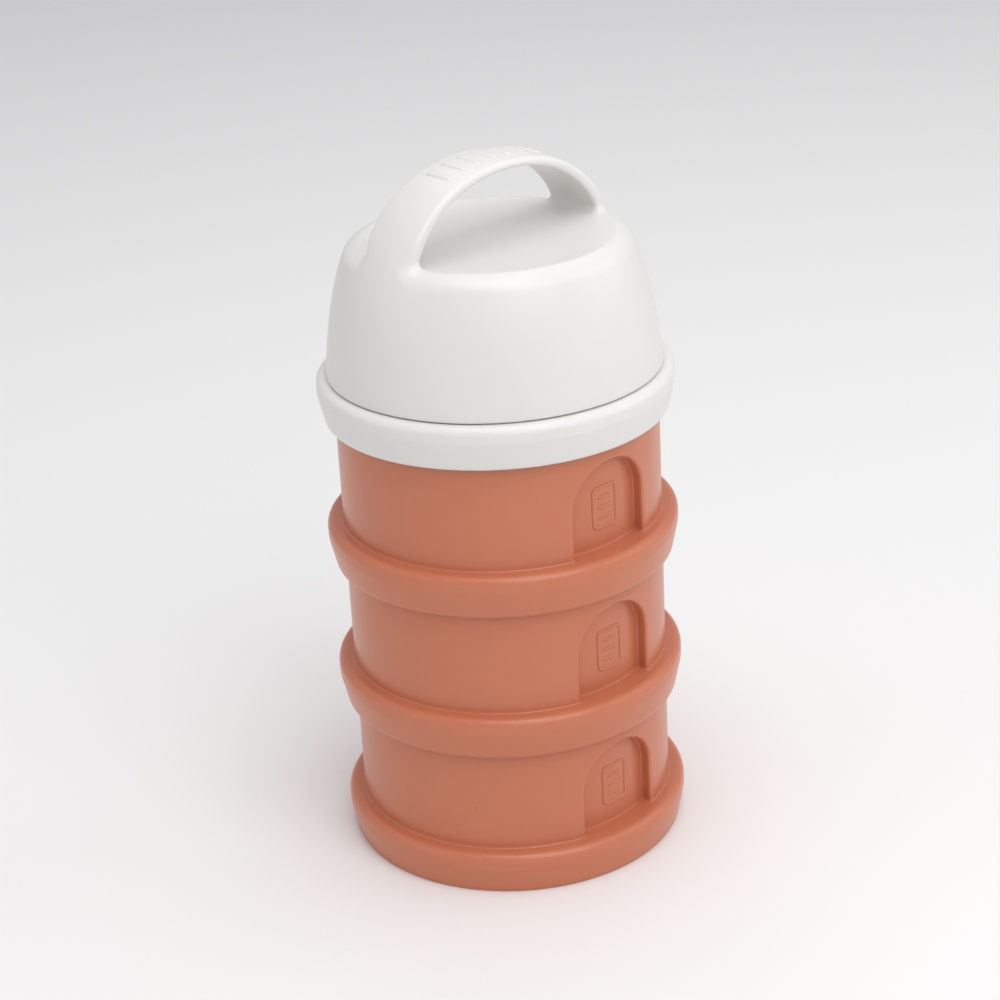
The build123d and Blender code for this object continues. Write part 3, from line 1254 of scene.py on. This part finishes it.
@dataclass
class CarryCap:
    """White domed cap with a scooped top and a strap handle."""

    base: float
    fit: Fit
    name: str = "carry_cap"
    seam_inset: float = 2.6
    seam_gap: float = 0.3
    rim_round: float = 0.4
    wall: float = 2.2
    lean: float = 2.8
    side_reach: float = 29.7
    crown_reach: float = 31.2
    plateau: float = 33.0
    dish: float = 1.4
    crest_round: float = 3.4
    handle_gap: float = 17.0
    strap_crown: float = 2.4
    strap_half: float = 8.3
    strap_foot: float = 5.0
    foot_round: float = 2.2
    strap_edge: float = 0.9
    tunnel_drop: float = 5.0
    bore_inset: float = 2.3
    bore_margin: float = 1.0
    plug: float = 4.6
    socket_bore: float = 17.9
    socket_wall: float = 1.6
    voxel: float = 0.55
    crease: float = 52.0
    eye: float = 14.0
    skirt: float = 4.0
    ribs: int = 7
    rib_step: float = 0.125
    rib_half: float = 3.9
    rib_radius: float = 1.3
    rib_sink: float = 0.95

    @property
    def radius(self) -> float:
        """Outside radius of the dome at its base."""
        return self.fit.flange_radius - self.seam_inset

    @property
    def rise(self) -> float:
        """Height of the whole dome above the joint plane."""
        return self.plateau + self.handle_gap + self.strap_crown

    @property
    def tunnel(self) -> tuple[float, float, float]:
        """Half width, half height and middle height of the ellipse under the strap.

        Returns:
            (half width, half height, middle height) in millimetres.
        """
        middle = self.plateau - self.tunnel_drop
        half_height = self.rise - self.strap_crown - middle
        foot = self.dome_radius(self.plateau) - self.strap_foot
        half_width = foot / math.sqrt(1 - (self.tunnel_drop / half_height) ** 2)
        return half_width, half_height, middle

    def bezier(self, share: float, shrink: float = 0.0) -> Point:
        """A point of the dome's outline.

        Args:
            share: 0 at the base, 1 at the crown.
            shrink: how far the outline is moved inwards.

        Returns:
            (radius, height) in millimetres.
        """
        radius, rise, rest = self.radius - shrink, self.rise - shrink, 1 - share
        weights = (rest**3, 3 * rest**2 * share, 3 * rest * share**2, share**3)
        radii = (radius, radius - self.lean, self.crown_reach, 0.0)
        heights = (0.0, self.side_reach, rise, rise)
        return (
            sum(w * r for w, r in zip(weights, radii)),
            sum(w * h for w, h in zip(weights, heights)),
        )

    def share_at(self, height: float, shrink: float = 0.0) -> float:
        """Where on its outline the dome reaches a height, from 0 to 1.

        Args:
            height: height above the joint plane.
            shrink: how far the outline is moved inwards.

        Returns:
            The share along the outline.
        """
        low, high = 0.0, 1.0
        for _ in range(50):
            middle = (low + high) / 2
            if self.bezier(middle, shrink)[1] < height:
                low = middle
            else:
                high = middle
        return low

    def dome_radius(self, height: float) -> float:
        """Outside radius of the dome at a height."""
        return self.bezier(self.share_at(height))[0]

    def dome_table(self) -> tuple[np.ndarray, np.ndarray, np.ndarray]:
        """The dome's outline seen from a point on the axis.

        Returns:
            Angles above the horizontal, distances, and cosines of the slant at each.
        """
        outline = [(self.radius, -self.skirt), (self.radius, -self.skirt / 2)]
        outline += [self.bezier(share) for share in np.linspace(0, 1, 500)]
        reach_out, height = np.array(outline).T
        angle = np.arctan2(height - self.eye, reach_out)
        reach = np.hypot(reach_out, height - self.eye)
        slant = np.gradient(reach, angle) / reach
        return angle, reach, 1 / np.sqrt(1 + slant**2)

    def field(self, points: np.ndarray, table: tuple[np.ndarray, np.ndarray, np.ndarray]) -> np.ndarray:
        """How far points lie outside the cap's outer skin, with its edges and its feet rounded.

        Args:
            points: points in millimetres, above the joint plane.
            table: the dome's outline from dome_table().

        Returns:
            One distance for each point, negative inside.
        """
        x, y, z = points.T
        axial = np.hypot(x, y)
        dome = self.dome_only(points, table)
        half_width, half_height, middle = self.tunnel
        pull = np.hypot(x / half_width, (z - middle) / half_height)
        steep = np.hypot(x / half_width**2, (z - middle) / half_height**2)
        tunnel = (pull - 1) * pull / np.maximum(steep, 1e-6)
        rim = self.dome_radius(self.plateau) - 0.9 * self.crest_round
        floor = self.plateau - self.dish * np.clip(1 - (axial / rim) ** 4, 0, 1)
        beside = round_min(self.strap_half - np.abs(y), tunnel, self.strap_edge)
        scoop = round_max(floor - z, beside, self.foot_round)
        share = np.clip((z - self.plateau) / 6.0, 0, 1)
        share = share * share * (3 - 2 * share)
        rounding = self.crest_round + (self.strap_edge - self.crest_round) * share
        return round_max(dome, -scoop, rounding)

    def settle(self, mesh: bpy.types.Mesh, rounds: int) -> None:
        """Moves a mesh's points onto the cap's outer skin.

        Args:
            mesh: the mesh, in metres, which lies close to the skin.
            rounds: number of passes.
        """
        count = len(mesh.vertices)
        flat = np.empty(count * 3)
        mesh.vertices.foreach_get("co", flat)
        points = flat.reshape(count, 3) / MM
        table = self.dome_table()
        small, longest_move = 0.01, 0.6
        for _ in range(rounds):
            here = self.field(points, table)
            shifts = [self.field(points + small * axis, table) - here for axis in np.eye(3)]
            slope = np.stack(shifts, axis=1) / small
            steepness = np.maximum((slope**2).sum(axis=1), 0.2)
            move = np.clip(here / steepness, -longest_move, longest_move)
            points -= slope * move[:, None]
        mesh.vertices.foreach_set("co", (points * MM).ravel())
        mesh.update()

    def rough_shape(self) -> bpy.types.Object:
        """The dome with its scoop and tunnel cut out by plain blocks, as a start for the skin.

        Returns:
            The rough shape, with its zero at the joint plane.
        """
        outline = [(0.0, -self.skirt), (self.radius, -self.skirt)]
        outline += [self.bezier(share / 40) for share in range(41)]
        shape = lathe("rough_cap", outline, 0.0, 96)
        far, top = 2 * self.radius, self.rise + 5.0
        for side in (-1, 1):
            near, out = sorted((side * self.strap_half, side * far))
            combine(shape, block("side_cut", (-far, near, self.plateau), (far, out, top)), "DIFFERENCE")
        half_width, half_height, middle = self.tunnel
        first = math.asin(self.tunnel_drop / half_height)
        turns = [first + (math.pi - 2 * first) * step / 48 for step in range(49)]
        arch = [(half_width * math.cos(turn), middle + half_height * math.sin(turn)) for turn in turns]
        tool = Skin()
        tool.grid([[(x, -far, z) for x, z in arch], [(x, far, z) for x, z in arch]], closed=True)
        for y in (-far, far):
            tool.grid([[(x, y, z) for x, z in arch], [(0.0, y, self.plateau + 1.0)] * len(arch)], closed=True)
        combine(shape, new_object("tunnel_cut", tool.mesh("tunnel_cut")), "DIFFERENCE")
        return shape

    def skin(self) -> bpy.types.Object:
        """The cap's outer skin as an even mesh with rounded edges and feet.

        Returns:
            The skin as an object, at the cap's own height.
        """
        shape = self.rough_shape()
        remesh = shape.modifiers.new("even", "REMESH")
        remesh.mode = "VOXEL"
        remesh.voxel_size = self.voxel * MM
        bpy.context.view_layer.update()
        mesh = bpy.data.meshes.new_from_object(shape.evaluated_get(bpy.context.evaluated_depsgraph_get()))
        shape.modifiers.remove(remesh)
        shape.data = mesh
        self.settle(mesh, 4)
        for _ in range(3):
            relax(mesh, 2)
            self.settle(mesh, 2)
        mesh.transform(Matrix.Translation((0, 0, self.base * MM)))
        return shape

    def hollow(self) -> bpy.types.Object:
        """Everything under and inside the cap as a solid: the bore, the hollow and the plug's socket.

        Returns:
            The solid as an object, at the cap's own height.
        """
        fit = self.fit
        ceiling = self.plateau - self.wall
        bore = self.radius - self.bore_inset
        shoulder = fit.neck_height + self.bore_margin
        tip = ceiling - self.plug - fit.seal_gap
        first, last = self.share_at(shoulder, self.wall), self.share_at(ceiling, self.wall)
        inner = [self.bezier(first + (last - first) * step / 24, self.wall) for step in range(25)]
        # The skin's closed base bulges down while it settles, so the solid reaches well below it.
        far, low = 2 * self.radius, -self.radius
        middle = (self.radius - self.rim_round + 0.05, self.seam_gap + self.rim_round)
        corners: list[Corner] = [(0.0, low, 0.0), (far, low, 0.0), (far, middle[1], 0.0)]
        for step in range(7):
            turn = -math.pi / 2 * step / 6
            corners.append((middle[0] + self.rim_round * math.cos(turn),
                            middle[1] + self.rim_round * math.sin(turn), 0.0))
        corners += [(bore, self.seam_gap, 0.0), (bore, shoulder, 0.3)]
        corners += [(radius, height, 0.0) for radius, height in inner]
        socket_out = self.socket_bore + self.socket_wall
        corners += [
            (socket_out, ceiling, 0.5),
            (socket_out, tip, 0.4),
            (self.socket_bore, tip, 0.4),
            (self.socket_bore, ceiling, 0.3),
            (0.0, ceiling, 0.0),
        ]
        return lathe("hollow", divided(rounded_outline(corners), 2.5, True), self.base, 180)

    def rib_paths(self) -> bpy.types.Mesh:
        """Paths of the raised grip ribs that lie across the strap's crown.

        Returns:
            A mesh of edges only.
        """
        table = self.dome_table()
        points, edges = [], []
        steps = 12
        for index in range(self.ribs):
            turn = math.pi / 2 + (index - (self.ribs - 1) / 2) * self.rib_step
            first = len(points)
            for step in range(steps + 1):
                y = self.rib_half * (2 * step / steps - 1)
                sink = self.rib_radius if step in (0, steps) else self.rib_sink
                ray = np.array((math.cos(turn), 0.0, math.sin(turn)))
                start = np.array((0.0, y, self.eye))
                reach = self.rise - self.eye
                for _ in range(12):
                    reach -= float(self.dome_only((start + reach * ray)[None, :], table)[0])
                spot = start + (reach - sink) * ray + np.array((0.0, 0.0, self.base))
                points.append(tuple(float(value) * MM for value in spot))
            edges += [(first + step, first + step + 1) for step in range(steps)]
        mesh = bpy.data.meshes.new("grip_ribs")
        mesh.from_pydata(points, edges, [])
        return mesh

    def dome_only(self, points: np.ndarray, table: tuple[np.ndarray, np.ndarray, np.ndarray]) -> np.ndarray:
        """How far points lie outside the whole dome, without its scoop.

        Args:
            points: points in millimetres, above the joint plane.
            table: the dome's outline from dome_table().

        Returns:
            One distance for each point, negative inside.
        """
        x, y, z = points.T
        axial = np.hypot(x, y)
        angle = np.arctan2(z - self.eye, axial)
        reach, cosine = np.interp(angle, table[0], table[1]), np.interp(angle, table[0], table[2])
        return (np.hypot(axial, z - self.eye) - reach) * cosine

    def make(self, threads: NodeTool, beads: NodeTool, finish: bpy.types.Material) -> None:
        """Builds the cap's pieces.

        Args:
            threads: tool that makes the ridges.
            beads: tool that makes the grip ribs.
            finish: the cap's material.
        """
        fit = self.fit
        shell = self.skin()
        shell.name = f"{self.name}_shell"
        combine(shell, self.hollow(), "DIFFERENCE")
        shade(shell, self.crease)
        shell.data.materials.clear()
        shell.data.materials.append(finish)
        bore, start = self.radius - self.bore_inset, self.base + fit.female_start
        thread = make_thread(threads, f"{self.name}_thread", fit, bore, False, finish, start)
        ribs = beads.bake(f"{self.name}_grip_ribs", self.rib_paths(), Bead_Radius=self.rib_radius * MM,
                          Material=finish)
        for piece in (shell, thread, ribs):
            dress(piece, self.name)
        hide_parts(self.name)


@dataclass
class SpoutPlug:
    """Silicone plug under the cap that closes the spout."""

    base: float
    bottom: float
    thickness: float
    name: str = "cap_seal"
    body: str = "cap_lift"
    radius: float = 17.5
    plug_radius: float = 12.8
    plug_depth: float = 3.0
    plug_wall: float = 1.6

    def make(self, finish: bpy.types.Material) -> None:
        """Builds the plug.

        Args:
            finish: the plug's material.
        """
        low, top = self.bottom - self.plug_depth, self.bottom + self.thickness
        inner = self.plug_radius - self.plug_wall
        corners = [
            (0.0, self.bottom, 0.0),
            (inner, self.bottom, 0.5),
            (inner, low, 0.4),
            (self.plug_radius - 0.3, low, 0.5),
            (self.plug_radius, low + 1.2, 0.5),
            (self.plug_radius, self.bottom, 0.4),
            (self.radius, self.bottom, 0.6),
            (self.radius, top, 0.6),
            (0.0, top, 0.0),
        ]
        plug = lathe(f"{self.name}_plug", divided(rounded_outline(corners), 2.0, True), self.base, 128)
        plug.data.materials.append(finish)
        dress(plug, self.body)
        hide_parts(self.name)


# ---------------------------------------------------------------- studio


@dataclass(frozen=True)
class Lamp:
    """A square soft light that faces the dispenser.

    Its azimuth is counted in degrees from the camera's side, positive to the right, and its elevation is
    in degrees. The distance and the size are in metres, and the power is in watts.
    """

    name: str
    azimuth: float
    elevation: float
    distance: float
    size: float
    power: float


LAMPS = (
    Lamp("key", 30.0, 44.0, 1.0, 0.75, 4.0),
    Lamp("top", 5.0, 80.0, 1.0, 0.55, 2.5),
    Lamp("back", 175.0, 60.0, 1.1, 0.9, 1.6),
    Lamp("right", 95.0, 25.0, 1.2, 0.9, 2.2),
    Lamp("left", -70.0, 25.0, 1.2, 0.9, 1.0),
)


@dataclass
class Studio:
    """Camera, lights and floor. Lengths are in millimetres, apart from the floor's and the lamps'."""

    turn: float = 41.2
    elevation: float = 23.57
    roll: float = 3.1
    distance: float = 587.8
    aside: float = -1.287
    above: float = 33.77
    aim_height: float = 125.0
    lens: float = 86.4
    lamp_aim: float = 0.1
    floor_half: float = 12.0
    floor_colour: tuple[float, float, float, float] = (0.85, 0.84, 0.83, 1.0)
    sky_colour: tuple[float, float, float, float] = (0.95, 0.96, 1.0, 1.0)
    sky_strength: float = 0.56

    def camera(self) -> None:
        """Places the camera above the front left, slightly rolled."""
        tilt, roll = math.radians(self.elevation), math.radians(self.roll)
        right, forward = Vector((1, 0, 0)), Vector((0, math.cos(tilt), -math.sin(tilt)))
        up = Vector((0, math.sin(tilt), math.cos(tilt)))
        camera_right = right * math.cos(roll) - up * math.sin(roll)
        camera_up = right * math.sin(roll) + up * math.cos(roll)
        place = -self.aside * camera_right - self.above * camera_up - self.distance * forward
        data = bpy.data.cameras.new("camera")
        data.lens = self.lens
        data.sensor_width = 36.0
        data.clip_start = 0.01
        camera = bpy.data.objects.new("camera", data)
        axes = Matrix((camera_right, camera_up, -forward)).transposed()
        swing = Matrix.Rotation(math.radians(-self.turn), 3, "Z")
        matrix = (swing @ axes).to_4x4()
        matrix.translation = (swing @ place + Vector((0, 0, self.aim_height))) * MM
        camera.matrix_world = matrix
        bpy.context.scene.collection.objects.link(camera)
        bpy.context.scene.camera = camera

    def light(self, lamp: Lamp) -> None:
        """Adds a lamp to the scene.

        Args:
            lamp: the lamp's place, size and power.
        """
        data = bpy.data.lights.new(lamp.name, "AREA")
        data.shape = "SQUARE"
        data.size = lamp.size
        data.energy = lamp.power
        light = bpy.data.objects.new(lamp.name, data)
        heading = math.radians(lamp.azimuth - self.turn)
        height = math.radians(lamp.elevation)
        direction = Vector(
            (math.sin(heading) * math.cos(height), -math.cos(heading) * math.cos(height), math.sin(height))
        )
        light.location = direction * lamp.distance + Vector((0, 0, self.lamp_aim))
        light.rotation_euler = direction.to_track_quat("Z", "Y").to_euler()
        bpy.context.scene.collection.objects.link(light)

    def floor(self) -> None:
        """Adds a pale plain floor."""
        size = self.floor_half
        mesh = bpy.data.meshes.new("floor")
        corners = [(-size, -size, 0), (size, -size, 0), (size, size, 0), (-size, size, 0)]
        mesh.from_pydata(corners, [], [(0, 1, 2, 3)])
        floor = new_object("floor", mesh)
        material = bpy.data.materials.new("floor_paper")
        material.use_nodes = True
        shader = material.node_tree.nodes["Principled BSDF"]
        shader.inputs["Base Color"].default_value = self.floor_colour
        shader.inputs["Roughness"].default_value = 0.9
        mesh.materials.append(material)

    def make(self) -> None:
        """Sets up the camera, the lights, the floor and the surroundings."""
        self.camera()
        self.floor()
        for lamp in LAMPS:
            self.light(lamp)
        bpy.context.scene.view_settings.view_transform = "Standard"
        world = bpy.data.worlds.new("studio")
        world.use_nodes = True
        background = world.node_tree.nodes["Background"]
        background.inputs["Color"].default_value = self.sky_colour
        background.inputs["Strength"].default_value = self.sky_strength
        bpy.context.scene.world = world


def main() -> None:
    """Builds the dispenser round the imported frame."""
    logging.basicConfig(level=logging.INFO, format="%(name)s: %(message)s")
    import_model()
    Studio().make()
    fit = Fit()
    terracotta, white, silicone = TERRACOTTA.material(), WHITE.material(), SILICONE.material()
    threads, beads = thread_tool(), bead_tool()
    for name in ("lower_cup", "middle_cup", "upper_cup"):
        PowderCup(name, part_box(name)[0].z / MM, fit).make(threads, beads, terracotta)
    below = {"lower": "lower_cup", "middle": "middle_lift", "upper": "upper_lift"}
    for level, body in below.items():
        NeckSeal(f"{level}_seal", body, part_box(f"{level}_cup")[0].z / MM, fit).make(silicone)
    collar_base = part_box("pour_collar")[0].z / MM
    NeckSeal("collar_seal", "collar_lift", collar_base, fit).make(silicone)
    collar = PourCollar(collar_base, fit)
    collar.make(threads, white)
    cap = CarryCap(collar_base + fit.flange_height, fit)
    cap.make(threads, beads, white)
    SpoutPlug(cap.base, collar.spout_tip + fit.seal_gap, cap.plug).make(silicone)


if __name__ == "__main__":
    main()
